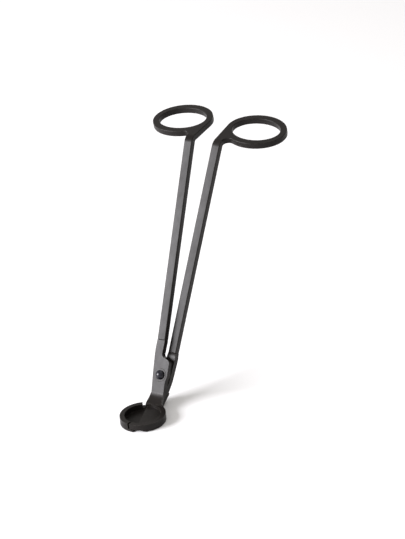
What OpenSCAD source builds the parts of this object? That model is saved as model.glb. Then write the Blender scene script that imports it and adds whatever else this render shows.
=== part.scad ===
// Wick trimmer: two crossed levers on one pivot. Each lever is a bar with a finger
// loop, joined to a forged blade. The two blades are the halves of a shallow round
// dish that stands flat on a table and catches the cut end of the wick.
//
// Frame: origin at the centre of the dish, on the surface it stands on.
// +X to the side, +Y back towards the handles, +Z up. Millimetres.

/* [Dish] */
// Outer diameter of the dish
dish_d = 24; // [20:0.5:30]
// Height of the rim above the table
dish_h = 4.3; // [3.5:0.1:6]
// Width of the rim, seen from above
rim_w = 2.5; // [1.5:0.1:3.5]
// Height of the upper blade's floor above the table
upper_floor_z = 2.8; // [2.4:0.1:3.4]
// Thickness of the lower blade, which lies on the table
lower_floor_z = 1.25; // [0.8:0.05:1.4]
// Gap between the two blades where they overlap
blade_gap = 0.2; // [0.15:0.05:0.4]
// Height of the upper half's underside at its outer side
upper_base_z = 0.3; // [0.2:0.1:1]
// Angle of the cutting edge from straight ahead
seam_angle = 18; // [5:1:25]
// Sideways place of the cutting edge at the middle of the dish
seam_x = -0.2; // [-1:0.1:1]
// How far the lower blade runs on under the upper blade
overlap = 1.3; // [0.5:0.1:2.5]
// Direction of the gap in the rim at the back, from +X
back_gap_a = 118; // [105:1:130]
// Half the angle of the back gap
back_gap_half = 4.5; // [2:0.5:8]
// Direction of the notch in the rim at the front, from +X
front_gap_a = 264; // [255:1:275]
// Half the angle of the front notch
front_gap_half = 2.8; // [2:0.2:6]

/* [Pivot] */
// Sideways place of the pivot
pivot_x = -0.9; // [-2:0.1:2]
// How far the pivot is behind the middle of the dish
pivot_y = 20.6; // [18:0.1:26]
// Height of the pivot on the front face of the upper lever
pivot_z = 16.2; // [14:0.1:22]
// Slope of the levers above the horizontal
arm_tilt = 61.5; // [50:0.5:70]
// Thickness of each lever at the pivot
plate_t = 3.5; // [3:0.1:4.5]
// Thickness of the washer between the levers
washer_t = 0.2; // [0.1:0.05:0.6]
// Radius of the rounded cheek of each lever round the pivot
cheek_r = 4.2; // [3.8:0.1:5]
// Diameter of the pivot screw's smooth shoulder
screw_d = 3.2; // [2.5:0.1:4]
// Running clearance round the shoulder, on the radius
run_gap = 0.05; // [0.02:0.01:0.1]
// Diameter of the domed screw head
head_d = 4.9; // [4.5:0.1:6.5]
// Height of the screw head's straight side, under the dome
head_side = 0.6; // [0.2:0.1:1]
// Height of the dome
dome_h = 1.3; // [0.8:0.1:1.8]
// Width across the flats of the lock nut
nut_af = 4.8; // [4.5:0.1:7]
// Height of the lock nut
nut_h = 1.8; // [1.5:0.1:3]

/* [Handles] */
// Width of each handle bar, seen from the front
bar_w = 4.6; // [3.5:0.1:6]
// Thickness of each handle bar
bar_t = 3.6; // [3:0.1:4.5]
// Distance from the pivot to the fold below the finger loop
fold_s = 124.5; // [90:0.5:150]
// Sideways distance from the pivot to the middle line of the upper bar
upper_bar_dx = 2.2; // [1.9:0.1:3]
// Sideways distance from the pivot to the middle line of the lower bar
lower_bar_dx = 1.7; // [1.5:0.1:3]
// Angle by which the upper handle leans outwards when the dish is closed
upper_lean = 2.3; // [1:0.05:5]
// Angle by which the lower handle leans outwards when the dish is closed
lower_lean = 2.55; // [1:0.05:5]
// Distance from the pivot to the joint of the upper handle and blade
upper_joint_s = 18; // [15:0.5:24]
// Distance from the pivot to the joint of the lower handle and blade
lower_joint_s = 12.2; // [11.5:0.1:16]
// How far the lower bar is set back from its pivot cheek
set_back = 0.6; // [0.3:0.1:1.2]

/* [Finger loops] */
// Slope of the loops above the horizontal
loop_tilt = 8; // [0:0.5:20]
// Thickness of the loops
loop_t = 3.3; // [2.5:0.1:4.5]
// Half the outer width of a loop, side to side
loop_a = 16.9; // [14:0.1:20]
// Half the outer depth of a loop, front to back
loop_b = 14; // [11:0.1:18]
// Half the inner width of a loop
hole_a = 13.5; // [11:0.5:17]
// Half the inner depth of a loop
hole_b = 10.2; // [8:0.1:15]
// Sideways distance from the bar's middle line to the loop's centre
loop_dx = 13.6; // [11:0.1:17]
// Distance from the fold back to the loop's centre
loop_dy = 17.8; // [15:0.1:24]
// Outer radius of the fold between bar and loop
fold_r = 5.4; // [4:0.1:6]
// Inner radius of the fold between bar and loop
fold_in_r = 1; // [1:0.1:3]
// Direction, seen from the loop's centre, where the outer fillet leaves the loop
fillet_a = -64; // [-75:1:-50]

/* [Hidden] */
$fn = 96;
eps = 0.01;
big = 60;
satin_black = [0.16, 0.15, 0.15];
gloss_black = [0.08, 0.08, 0.10];
dish_r = dish_d / 2;
rim_in_r = dish_r - rim_w;
under_z = lower_floor_z + blade_gap;            // underside of the upper blade
fold_a = arm_tilt - loop_tilt;                  // angle of the fold below each loop
fold_end = fold_r * tan(fold_a / 2);            // where the fold runs out into the flat loop
lower_front = -(plate_t + washer_t);            // front face of the lower cheek
lower_bar_front = lower_front - set_back;       // front face of the lower bar
lower_back = lower_front - plate_t;             // back face of the lower cheek
bend_s = -9.4;                                  // where the upper cheek bends into its neck
tip_x = 1.5;                                    // where the lower blade's front lip ends
base_gap = 0.3;                                 // side clearance of the upper half's low part
boss_r = 3.5;                                   // raised pad under the screw head
boss_h = 0.15;

// Points along an arc, from angle a0 to angle a1
function arc(c, r, a0, a1, n = 12) =
    [for (i = [0:n]) let (a = a0 + (a1 - a0) * i / n) [c[0] + r * cos(a), c[1] + r * sin(a)]];

// Points along an ellipse
function oval(c, a, b, n = 96) = [for (i = [0:n - 1]) [c[0] + a * cos(360 * i / n), c[1] + b * sin(360 * i / n)]];

// A point of a bar that leans to the left, x across and s along, in the pivot's plane
function on_bar(dx, lean, x, s) = [-dx + x * cos(lean) - s * sin(lean), x * sin(lean) + s * cos(lean)];

// Height and depth of a point of the lever plane: s along the lever, n out of its front face
function side_y(s, n) = pivot_y + s * cos(arm_tilt) - n * sin(arm_tilt);
function side_z(s, n) = pivot_z + s * sin(arm_tilt) + n * cos(arm_tilt);

// Local frame of the pivot: x across, y up along the levers, z out of the front face
module at_pivot() {
    translate([pivot_x, pivot_y, pivot_z]) rotate([arm_tilt, 0, 0]) children();
}

// Bar frame of the upper handle; the lower handle's is its mirror image, further back
module at_bar(upper) {
    at_pivot()
        translate([0, 0, upper ? 0 : lower_bar_front])
            mirror([upper ? 0 : 1, 0, 0])
                translate([upper ? -upper_bar_dx : -lower_bar_dx, 0, 0])
                    rotate([0, 0, upper ? upper_lean : lower_lean]) children();
}

// A drilled hole along the pivot axis, through everything
module pivot_hole(r) {
    translate([0, 0, -big / 2]) cylinder(r = r, h = big);
}

// ---- handles ----

// Outline of a finger loop with its web, in the loop's own plane
module loop_outline() {
    centre = [-loop_dx, loop_dy];
    edge = bar_w / 2;
    touch = [centre[0] + loop_a * cos(fillet_a), centre[1] + loop_b * sin(fillet_a)];
    slope = [loop_b * cos(fillet_a), loop_a * sin(fillet_a)];
    out = slope / norm(slope);
    r = (-edge - touch[0]) / (1 + out[0]);
    fc = touch + r * out;
    difference() {
        union() {
            polygon(oval(centre, loop_a, loop_b));
            polygon([[-edge, 0], [edge, 0], [edge, fold_end], [loop_a - loop_dx, loop_dy], [-edge, loop_dy]]);
            difference() {
                polygon([[-edge + eps, fc[1]], fc, touch, [touch[0], loop_dy], [-edge + eps, loop_dy]]);
                translate(fc) circle(r = r);
            }
        }
        polygon(oval(centre, hole_a, hole_b));
    }
}

// Side view of the fold: x along the bar, y out of its front face
module fold_outline() {
    reach = 7;
    back = [cos(fold_a), -sin(fold_a)];
    down = [-sin(fold_a), -cos(fold_a)];
    corner_s = fold_s + (bar_t * cos(fold_a) - loop_t) / sin(fold_a);
    polygon(concat(
        [[fold_s - reach, -bar_t], [fold_s - reach, 0]],
        arc([fold_s - fold_end, -fold_r], fold_r, 90, 90 - fold_a),
        [[fold_s, 0] + reach * back, [fold_s, 0] + reach * back + loop_t * down],
        arc([corner_s - fold_in_r * tan(fold_a / 2), -bar_t - fold_in_r], fold_in_r, 90 - fold_a, 90)));
}

// One handle: a straight bar, a fold, and a flat loop with its web
module handle(upper, joint_s) {
    at_bar(upper) {
        translate([-bar_w / 2, joint_s, -bar_t]) cube([bar_w, fold_s - 6 - joint_s, bar_t]);
        rotate([90, 0, 90]) translate([0, 0, -bar_w / 2]) linear_extrude(bar_w) fold_outline();
        translate([0, fold_s, 0]) rotate([-fold_a, 0, 0]) translate([0, 0, -loop_t])
            linear_extrude(loop_t) intersection() {
                loop_outline();
                translate([-big, fold_end]) square([2 * big, big]);
            }
    }
}

module upper_handle() {
    color(satin_black) handle(true, upper_joint_s);
}

module lower_handle() {
    color(satin_black) handle(false, lower_joint_s);
}

// ---- dish ----

// Sector of the dish from angle a0 to a1, seen from above
module sector(r, a0, a1) {
    intersection() {
        circle(r = r);
        polygon(concat([[0, 0]], arc([0, 0], 2 * r, a0, a1, 8)));
    }
}

// The rim between two directions
module rim(a0, a1) {
    difference() {
        sector(dish_r, a0, a1);
        circle(r = rim_in_r);
    }
}

// Everything on the right of the cutting edge, moved right by dx
module right_of_seam(dx) {
    translate([seam_x + dx, 0]) rotate(seam_angle) translate([0, -big]) square([big, 2 * big]);
}

// ---- upper blade: front cheek, neck and right half of the dish ----

module upper_cheek_outline() {
    shank_x = -0.87;
    scoop_r = 2;
    scoop_c = [shank_x + scoop_r, 11.1];
    corner_r = 2.4;
    corner_c = [cheek_r - corner_r, 6.3];
    polygon(concat(
        [on_bar(upper_bar_dx, upper_lean, -bar_w / 2, upper_joint_s),
         [-5.35, 13], [-5.25, 9.5], [-4.45, -0.5], [-3.45, bend_s], [3.8, bend_s], [3.75, -7.5],
         [3.6, -5], [3.62, -3.6]],
        arc([0, 0], cheek_r, -25, 0),
        arc(corner_c, corner_r, 0, 70),
        arc(scoop_c, scoop_r, 250, 180),
        [on_bar(upper_bar_dx, upper_lean, bar_w / 2, upper_joint_s)]));
}

// Side view of the upper neck, x back and y up
module upper_neck_side() {
    bend = [side_y(bend_s, 0), side_z(bend_s, 0)];
    top_s = bend_s + 0.5;
    under = [19.3, 6.25];
    polygon([[side_y(top_s, 0), side_z(top_s, 0)], bend, [13.3, 5.9], [11.2, 4.8], [9.9, dish_h],
             [8, dish_h], [8, under_z], [11, under_z], under,
             [side_y(top_s, -plate_t), side_z(top_s, -plate_t)]]);
}

// Top view of the upper neck
module upper_neck_top() {
    polygon([[-4.4, 24], [-4.4, 16], [-4.5, 10.9], [-3.7, 9], [-2, 7.5], [5.5, 7.5], [7.3, 9.4],
             [4.8, 11.2], [3.8, 13], [3.2, 15.4], [2.9, 16.2], [2.9, 24]]);
}

module upper_blade() {
    color(satin_black) difference() {
        union() {
            at_pivot() translate([0, 0, -plate_t]) linear_extrude(plate_t) upper_cheek_outline();
            at_pivot() cylinder(r = boss_r, h = boss_h);
            intersection() {
                rotate([90, 0, 90]) translate([0, 0, -big / 2]) linear_extrude(big) upper_neck_side();
                linear_extrude(big) difference() {
                    upper_neck_top();
                    circle(r = rim_in_r);
                }
            }
            upper_half();
        }
        at_pivot() pivot_hole(screw_d / 2 + run_gap);
        opening_relief();
    }
}

// Right half of the dish: rim, floor, and a base that slopes down clear of the lower blade
module upper_half() {
    start_a = front_gap_a - 360 + front_gap_half;
    end_a = back_gap_a - back_gap_half;
    slope_end = 4;
    translate([0, 0, under_z]) linear_extrude(dish_h - under_z) rim(start_a, end_a);
    translate([0, 0, under_z]) linear_extrude(upper_floor_z - under_z) intersection() {
        circle(r = rim_in_r + eps);
        right_of_seam(0);
    }
    intersection() {
        translate([0, 0, upper_base_z]) linear_extrude(under_z - upper_base_z + eps) intersection() {
            circle(r = dish_r);
            right_of_seam(overlap + base_gap);
            translate([tip_x + base_gap, -big]) square([big, big + 8.4]);
        }
        translate([seam_x, 0, 0]) rotate([90, 0, seam_angle]) translate([0, 0, -big]) linear_extrude(2 * big)
            polygon([[overlap + base_gap, under_z - 0.1], [slope_end, upper_base_z], [big, upper_base_z],
                     [big, dish_h], [overlap + base_gap, dish_h]]);
    }
}

// Room under the left back corner, which dips a little as the dish opens
module opening_relief() {
    translate([-8, 4.5, 0]) cube([6.3, 8, under_z + 0.45]);
}

// ---- lower blade: rear cheek, neck and left half of the dish ----

module lower_cheek_outline() {
    root_s = -12.5;
    scoop_r = 2.2;
    scoop_c = [-2.2, 10.4];
    corner_r = 2.3;
    corner_c = [corner_r - 4, 6.3];
    left = on_bar(lower_bar_dx, lower_lean, bar_w / 2, lower_joint_s);
    right = on_bar(lower_bar_dx, lower_lean, -bar_w / 2, lower_joint_s);
    polygon(concat(
        [[-right[0], right[1]], [5.05, 10], [5.1, 8.9], [4.9, 6.2], [4.5, 1.2], [4, -3.5],
         [3, -8.2], [2.3, root_s], [-3, root_s], [-3.4, -6], [-4, 0]],
        arc(corner_c, corner_r, 180, 120),
        arc(scoop_c, scoop_r, -60, -10),
        [[-left[0], left[1]]]));
}

// Side view of the lower cheek above the washer: the part near the bar is set back
module lower_cheek_side() {
    step_s = 10.2;
    polygon([[-13, lower_front], [step_s, lower_front], [lower_joint_s - 0.2, lower_bar_front],
             [lower_joint_s + 1, lower_bar_front], [lower_joint_s + 1, lower_bar_front - bar_t],
             [lower_joint_s - 0.2, lower_bar_front - bar_t], [step_s, lower_back], [-13, lower_back]]);
}

// Side view of the lower neck, x back and y up
module lower_neck_side() {
    top_s = -9;
    polygon([[6, 0], [15, 0], [22.3, 4.2], [side_y(top_s, lower_back), side_z(top_s, lower_back)],
             [side_y(top_s, lower_front), side_z(top_s, lower_front)], [19.75, 5.95],
             [11.9, lower_floor_z], [6, lower_floor_z]]);
}

// Top view of the lower neck
module lower_neck_top() {
    polygon([[-3.9, 30], [-3.9, 16], [-5, 12.5], [-6.2, 10.2], [-5, 7], [0, 7], [0.5, 9.2], [5, 9.2],
             [3.7, 11.6], [2.7, 14.6], [2.4, 16.5], [2.4, 20], [2.4, 30]]);
}

module lower_blade() {
    color(satin_black) difference() {
        union() {
            intersection() {
                at_pivot() translate([0, 0, -big / 2]) linear_extrude(big) lower_cheek_outline();
                at_pivot() rotate([90, 0, 90]) translate([0, 0, -big / 2]) linear_extrude(big) lower_cheek_side();
            }
            intersection() {
                rotate([90, 0, 90]) translate([0, 0, -big / 2]) linear_extrude(big) lower_neck_side();
                linear_extrude(big) lower_neck_top();
            }
            lower_half();
        }
        at_pivot() pivot_hole(screw_d / 2 + run_gap);
    }
}

// Left half of the dish: floor, front lip and rim, with a low sill in the back gap
module lower_half() {
    sill_z = 2.5;
    rim_start = back_gap_a + back_gap_half;
    rim_end = front_gap_a - front_gap_half;
    linear_extrude(lower_floor_z) difference() {
        union() {
            circle(r = rim_in_r - 0.2);
            sector(dish_r, rim_start, 300);
        }
        right_of_seam(overlap);
        translate([tip_x, -big]) square([big, big - rim_in_r + 0.4]);
    }
    linear_extrude(dish_h) rim(rim_start, rim_end);
    linear_extrude(sill_z) rim(back_gap_a - back_gap_half + 2, rim_start + 1);
}

// ---- fasteners ----

// Domed head, smooth shoulder through both levers, and a tail that carries the nut
module pivot_screw() {
    dome_r = (pow(head_d / 2, 2) + pow(dome_h, 2)) / (2 * dome_h);
    tail = -lower_back + nut_h + 0.5;
    color(gloss_black) at_pivot() {
        translate([0, 0, boss_h + run_gap]) {
            cylinder(d = head_d, h = head_side);
            intersection() {
                translate([0, 0, head_side + dome_h - dome_r]) sphere(r = dome_r);
                cylinder(d = head_d, h = head_side + dome_h + 1);
            }
        }
        translate([0, 0, lower_back]) cylinder(d = screw_d, h = -lower_back + boss_h + run_gap + eps);
        translate([0, 0, -tail]) cylinder(d = screw_d - 0.2, h = tail + lower_back + eps);
    }
}

module pivot_washer() {
    color("silver") at_pivot() translate([0, 0, lower_front]) difference() {
        cylinder(r = cheek_r - 0.6, h = washer_t);
        pivot_hole(screw_d / 2 + run_gap);
    }
}

module lock_nut() {
    color(gloss_black) at_pivot() translate([0, 0, lower_back - nut_h]) difference() {
        cylinder(d = nut_af / cos(30), h = nut_h, $fn = 6);
        pivot_hole(screw_d / 2 - 0.08);
    }
}

upper_handle();
upper_blade();
lower_handle();
lower_blade();
pivot_screw();
pivot_washer();
lock_nut();
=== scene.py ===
"""Wick trimmer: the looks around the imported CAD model.

Every visible piece is a CAD node. It gets a procedural material, and modifiers that
round its edges. The rest is the camera, the floor and the light. Lengths are in metres.
"""
import math
import bpy
from mathutils import Matrix, Vector

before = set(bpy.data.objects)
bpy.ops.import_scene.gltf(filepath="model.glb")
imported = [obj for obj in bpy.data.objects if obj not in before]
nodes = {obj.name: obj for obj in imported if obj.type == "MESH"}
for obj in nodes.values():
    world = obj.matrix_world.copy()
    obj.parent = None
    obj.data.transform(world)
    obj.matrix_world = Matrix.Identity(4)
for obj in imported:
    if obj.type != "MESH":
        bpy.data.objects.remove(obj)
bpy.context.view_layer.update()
MM = 0.001

# ---- camera ----

# The camera is to the right of straight in front, above the table, and tilted about its
# line of sight
AZIMUTH = math.radians(33.704)
ELEVATION = math.radians(26.236)
ROLL = math.radians(-5.67)
# Its distance from the plane through the origin that faces it, and where on that plane
# its line of sight falls
DISTANCE = 1.127968
AXIS_RIGHT = 30.509 * MM
AXIS_UP = 78.064 * MM
# Sensor height and focal length, in millimetres
SENSOR = 36.0
LENS = 145.954152


def make_camera():
    """Looks from the front right and above, tilted a little."""
    view = Vector((math.sin(AZIMUTH) * math.cos(ELEVATION),
                   -math.cos(AZIMUTH) * math.cos(ELEVATION),
                   math.sin(ELEVATION)))
    right = Vector((math.cos(AZIMUTH), math.sin(AZIMUTH), 0))
    up = view.cross(right)
    tilted_right = math.cos(ROLL) * right + math.sin(ROLL) * up
    tilted_up = math.cos(ROLL) * up - math.sin(ROLL) * right
    place = tilted_right * AXIS_RIGHT + tilted_up * AXIS_UP + view * DISTANCE
    data = bpy.data.cameras.new("camera")
    data.sensor_fit = "VERTICAL"
    data.sensor_height = SENSOR
    data.lens = LENS
    data.clip_start = 0.05
    data.clip_end = 20
    camera = bpy.data.objects.new("camera", data)
    camera.matrix_world = Matrix((
        (tilted_right.x, tilted_up.x, view.x, place.x),
        (tilted_right.y, tilted_up.y, view.y, place.y),
        (tilted_right.z, tilted_up.z, view.z, place.z),
        (0, 0, 0, 1)))
    bpy.context.scene.collection.objects.link(camera)
    bpy.context.scene.camera = camera


make_camera()

# ---- node trees ----

# A colour Mix node has sockets for every data type; these are its colour ones
MIX_A, MIX_B, MIX_RESULT = 6, 7, 2


def new_material(name):
    mat = bpy.data.materials.new(name)
    mat.use_nodes = True
    return mat


class Graph:
    """Short calls for building one material's node tree."""

    def __init__(self, name):
        self.mat = new_material(name)
        self.tree = self.mat.node_tree
        self.shader = self.tree.nodes["Principled BSDF"]

    def add(self, kind, **settings):
        node = self.tree.nodes.new(kind)
        for key, value in settings.items():
            setattr(node, key, value)
        return node

    def link(self, output, socket):
        self.tree.links.new(output, socket)

    def put(self, value, socket):
        """Links an output, or sets a plain number or colour."""
        if isinstance(value, bpy.types.NodeSocket):
            self.link(value, socket)
        else:
            socket.default_value = value

    def math(self, operation, a, b=0.0, clamp=False):
        node = self.add("ShaderNodeMath", operation=operation, use_clamp=clamp)
        self.put(a, node.inputs[0])
        self.put(b, node.inputs[1])
        return node.outputs[0]

    def remap(self, value, low, high, to_low=0.0, to_high=1.0):
        """Stretches low..high to to_low..to_high, and holds it there outside."""
        node = self.add("ShaderNodeMapRange")
        for key, item in (("Value", value), ("From Min", low), ("From Max", high),
                          ("To Min", to_low), ("To Max", to_high)):
            self.put(item, node.inputs[key])
        return node.outputs["Result"]

    def blend(self, factor, a, b):
        """From colour a at factor 0 to colour b at factor 1."""
        node = self.add("ShaderNodeMix", data_type="RGBA")
        self.put(factor, node.inputs["Factor"])
        self.put(a, node.inputs[MIX_A])
        self.put(b, node.inputs[MIX_B])
        return node.outputs[MIX_RESULT]

    def place(self, stretch=(1, 1, 1), turn=(0, 0, 0)):
        """The object's own coordinates, in metres, stretched and then turned."""
        coords = self.add("ShaderNodeTexCoord")
        mapping = self.add("ShaderNodeMapping")
        mapping.inputs["Scale"].default_value = stretch
        mapping.inputs["Rotation"].default_value = turn
        self.link(coords.outputs["Object"], mapping.inputs["Vector"])
        return mapping.outputs["Vector"]

    def noise(self, vector, scale, detail=2.0, roughness=0.5):
        """Random spots, about scale of them to one unit of the vector."""
        node = self.add("ShaderNodeTexNoise")
        self.link(vector, node.inputs["Vector"])
        node.inputs["Scale"].default_value = scale
        node.inputs["Detail"].default_value = detail
        node.inputs["Roughness"].default_value = roughness
        return node.outputs["Fac"]

    def edge(self, radius):
        """0 on flat surfaces, rising to 1 along the edges."""
        bevel = self.add("ShaderNodeBevel", samples=6)
        bevel.inputs["Radius"].default_value = radius
        geometry = self.add("ShaderNodeNewGeometry")
        dot = self.add("ShaderNodeVectorMath", operation="DOT_PRODUCT")
        self.link(bevel.outputs["Normal"], dot.inputs[0])
        self.link(geometry.outputs["True Normal"], dot.inputs[1])
        return self.remap(dot.outputs["Value"], 0.995, 0.90)

    def bump(self, height, strength, distance, under=None):
        """Bump from a height, on top of another bump where there is one."""
        node = self.add("ShaderNodeBump")
        node.inputs["Strength"].default_value = strength
        node.inputs["Distance"].default_value = distance
        self.link(height, node.inputs["Height"])
        if under is not None:
            self.link(under, node.inputs["Normal"])
        return node.outputs["Normal"]

    def surface(self, colour, rough, normal):
        """Feeds the shader, and gives back the finished material."""
        self.link(colour, self.shader.inputs["Base Color"])
        self.link(rough, self.shader.inputs["Roughness"])
        self.link(normal, self.shader.inputs["Normal"])
        return self.mat


# ---- materials ----

# The grinding lines fade out between these two heights, just above the dish's floor
LINES_FULL_Z = 3.0 * MM
LINES_END_Z = 3.4 * MM
# Turns their noise off its own grid
LINES_TURN = math.radians(-18)


def satin_coat(name, ground):
    """Baked-on satin black: fine orange peel, faint handling marks, greyer worn edges.
    A ground coat also has fine grinding lines from side to side on the dish's floor."""
    g = Graph(name)
    even = g.place()
    broad = g.noise(even, 55, 3)
    peel = g.noise(even, 1900, 2)
    marks = g.noise(g.place((500, 500, 60), (0.5, 0, 0)), 1, 3, 0.6)
    patchy = g.noise(even, 700, 3)
    worn = g.math("MULTIPLY", g.edge(0.5 * MM), g.remap(patchy, 0.38, 0.62), clamp=True)
    tint = g.blend(g.remap(broad, 0.3, 0.7),
                   (0.0060, 0.0049, 0.0043, 1), (0.0100, 0.0084, 0.0076, 1))
    colour = g.blend(g.math("MULTIPLY", worn, 0.55), tint, (0.070, 0.064, 0.058, 1))
    rough = g.math("ADD", g.remap(broad, 0.3, 0.7, 0.33, 0.39),
                   g.remap(marks, 0.35, 0.7, 0.0, 0.05))
    rough = g.math("SUBTRACT", rough, g.math("MULTIPLY", worn, 0.08))
    normal = g.bump(peel, 0.10, 0.03 * MM)
    if ground:
        split = g.add("ShaderNodeSeparateXYZ")
        g.link(even, split.inputs[0])
        on_floor = g.remap(split.outputs["Z"], LINES_END_Z, LINES_FULL_Z)
        grain = g.noise(g.place((60, 4200, 4200), (0, 0, LINES_TURN)), 1, 2, 0.6)
        lines = g.math("MULTIPLY", on_floor, grain)
        normal = g.bump(lines, 0.22, 0.03 * MM, normal)
        rough = g.math("ADD", rough, g.remap(lines, 0.35, 0.65, -0.04, 0.05))
    g.shader.inputs["Specular IOR Level"].default_value = 0.15
    return g.surface(colour, rough, normal)


def gloss_black(name):
    """Semi-gloss black with a cold tint, a fine texture and rubbed edges."""
    g = Graph(name)
    even = g.place()
    broad = g.noise(even, 260, 3)
    fine = g.noise(even, 3200, 2)
    patchy = g.noise(even, 1200, 3)
    worn = g.math("MULTIPLY", g.edge(0.3 * MM), g.remap(patchy, 0.4, 0.6), clamp=True)
    tint = g.blend(g.remap(broad, 0.3, 0.7), (0.005, 0.005, 0.008, 1), (0.009, 0.009, 0.013, 1))
    colour = g.blend(g.math("MULTIPLY", worn, 0.5), tint, (0.09, 0.09, 0.10, 1))
    rough = g.remap(broad, 0.3, 0.7, 0.16, 0.24)
    g.shader.inputs["Specular IOR Level"].default_value = 0.3
    return g.surface(colour, rough, g.bump(fine, 0.08, 0.02 * MM))


def bright_steel(name):
    """Bare spring steel with fine lines and slight staining."""
    g = Graph(name)
    broad = g.noise(g.place(), 300, 3)
    fine = g.noise(g.place((400, 3000, 3000)), 1, 2)
    colour = g.blend(g.remap(broad, 0.3, 0.7), (0.42, 0.42, 0.43, 1), (0.56, 0.56, 0.57, 1))
    rough = g.remap(fine, 0.3, 0.7, 0.22, 0.38)
    g.shader.inputs["Metallic"].default_value = 1.0
    return g.surface(colour, rough, g.bump(fine, 0.15, 0.02 * MM))


# ---- rounded edges ----

WELD_GAP = 0.03 * MM               # points closer than this become one
FLAT_ANGLE = math.radians(1.5)     # faces this close to one plane become one
ROUND_ANGLE = math.radians(35)     # edges sharper than this are rounded
SPLIT_ANGLE = math.radians(40)     # edges still sharper than this shade as corners


def smooth_group():
    """A modifier's node group that shades its mesh smooth."""
    group = bpy.data.node_groups.new("shade_smooth", "GeometryNodeTree")
    for way in ("INPUT", "OUTPUT"):
        group.interface.new_socket("Geometry", in_out=way, socket_type="NodeSocketGeometry")
    source = group.nodes.new("NodeGroupInput")
    smooth = group.nodes.new("GeometryNodeSetShadeSmooth")
    result = group.nodes.new("NodeGroupOutput")
    group.links.new(source.outputs[0], smooth.inputs["Geometry"])
    group.links.new(smooth.outputs[0], result.inputs[0])
    return group


def round_edges(obj, smooth, width, segments):
    """Softens a CAD node's sharp edges, as tumbling and coating do."""
    weld = obj.modifiers.new("weld", "WELD")
    weld.merge_threshold = WELD_GAP
    flat = obj.modifiers.new("flat", "DECIMATE")
    flat.decimate_type = "DISSOLVE"
    flat.angle_limit = FLAT_ANGLE
    obj.modifiers.new("smooth", "NODES").node_group = smooth
    bevel = obj.modifiers.new("bevel", "BEVEL")
    bevel.width = width
    bevel.segments = segments
    bevel.limit_method = "ANGLE"
    bevel.angle_limit = ROUND_ANGLE
    bevel.use_clamp_overlap = False
    obj.modifiers.new("split", "EDGE_SPLIT").split_angle = SPLIT_ANGLE
    obj.modifiers.new("normals", "WEIGHTED_NORMAL")


def dress(names, mat, smooth, width, segments):
    """Gives CAD nodes their material and rounds their edges."""
    for name in names:
        obj = nodes[name]
        obj.data.materials.clear()
        obj.data.materials.append(mat)
        round_edges(obj, smooth, width, segments)


def dress_all():
    smooth = smooth_group()
    coat = satin_coat("satin_black_coat", ground=False)
    ground_coat = satin_coat("satin_black_ground_coat", ground=True)
    gloss = gloss_black("semi_gloss_black")
    steel = bright_steel("bright_spring_steel")
    dress(("upper_handle", "lower_handle"), coat, smooth, 0.4 * MM, 3)
    dress(("upper_blade", "lower_blade"), ground_coat, smooth, 0.1 * MM, 2)
    dress(("pivot_screw",), gloss, smooth, 0.12 * MM, 2)
    dress(("lock_nut",), gloss, smooth, 0.15 * MM, 2)
    dress(("pivot_washer",), steel, smooth, 0.04 * MM, 1)


dress_all()

# ---- floor and light ----

FLOOR_HALF = 3.0
WORLD_STRENGTH = 0.62


def make_floor():
    mesh = bpy.data.meshes.new("floor")
    s = FLOOR_HALF
    mesh.from_pydata([(-s, -s, 0), (s, -s, 0), (s, s, 0), (-s, s, 0)], [], [(0, 1, 2, 3)])
    floor = bpy.data.objects.new("floor", mesh)
    bpy.context.scene.collection.objects.link(floor)
    mat = new_material("pale_floor")
    shader = mat.node_tree.nodes["Principled BSDF"]
    shader.inputs["Base Color"].default_value = (0.82, 0.82, 0.82, 1)
    shader.inputs["Roughness"].default_value = 0.8
    mesh.materials.append(mat)


def make_area(name, place, aim, size, power, tint):
    data = bpy.data.lights.new(name, "AREA")
    data.shape = "RECTANGLE"
    data.size, data.size_y = size
    data.energy = power
    data.color = tint
    lamp = bpy.data.objects.new(name, data)
    lamp.location = place
    lamp.rotation_euler = (Vector(aim) - Vector(place)).to_track_quat("-Z", "Y").to_euler()
    bpy.context.scene.collection.objects.link(lamp)


def make_world():
    """Even, slightly warm light from all round."""
    world = bpy.data.worlds.new("world")
    world.use_nodes = True
    background = world.node_tree.nodes["Background"]
    background.inputs["Color"].default_value = (1, 0.97, 0.94, 1)
    background.inputs["Strength"].default_value = WORLD_STRENGTH
    bpy.context.scene.world = world


make_floor()
make_world()
# The main light, from the front left, and a weak one from above
make_area("front_softbox", (-0.95, -1.0, 0.58), (0, 0.05, 0.08), (0.9, 0.62), 56,
          (0.97, 0.96, 1.0))
make_area("top_softbox", (0.25, 0.25, 1.8), (0, 0.05, 0.0), (1.2, 1.2), 5, (1, 1, 1))
bpy.context.scene.view_settings.view_transform = "Standard"
